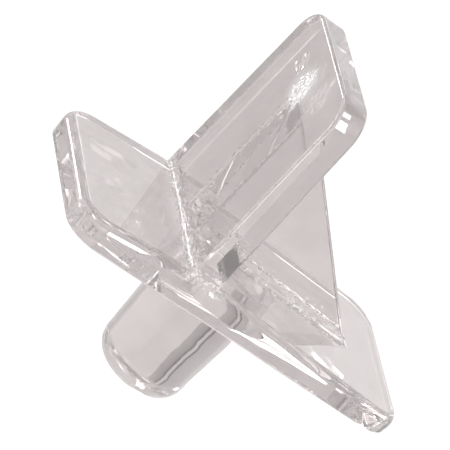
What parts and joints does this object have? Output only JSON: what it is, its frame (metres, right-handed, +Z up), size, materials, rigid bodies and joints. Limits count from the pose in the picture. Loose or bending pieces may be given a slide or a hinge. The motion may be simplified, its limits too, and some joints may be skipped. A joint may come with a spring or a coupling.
{
  "type": "shelf support pin",
  "caption": "Clear moulded plastic shelf support: a round peg behind an upright back plate, and a flat shelf plate in front, braced by a rib.",
  "frame": {"origin": "on the wall, in the middle of the round spot where the peg leaves the back plate's rear face", "axes": "-X along the peg into the wall, +X out along the shelf plate, +Y along the shelf's edge, +Z up"},
  "size_m": [0.023, 0.0126, 0.0239],
  "materials": {
    "clear_plastic": "clear, glossy, as moulded"
  },
  "bodies": {
    "root": {"support_pin": "clear_plastic"}
  },
  "joints": []
}
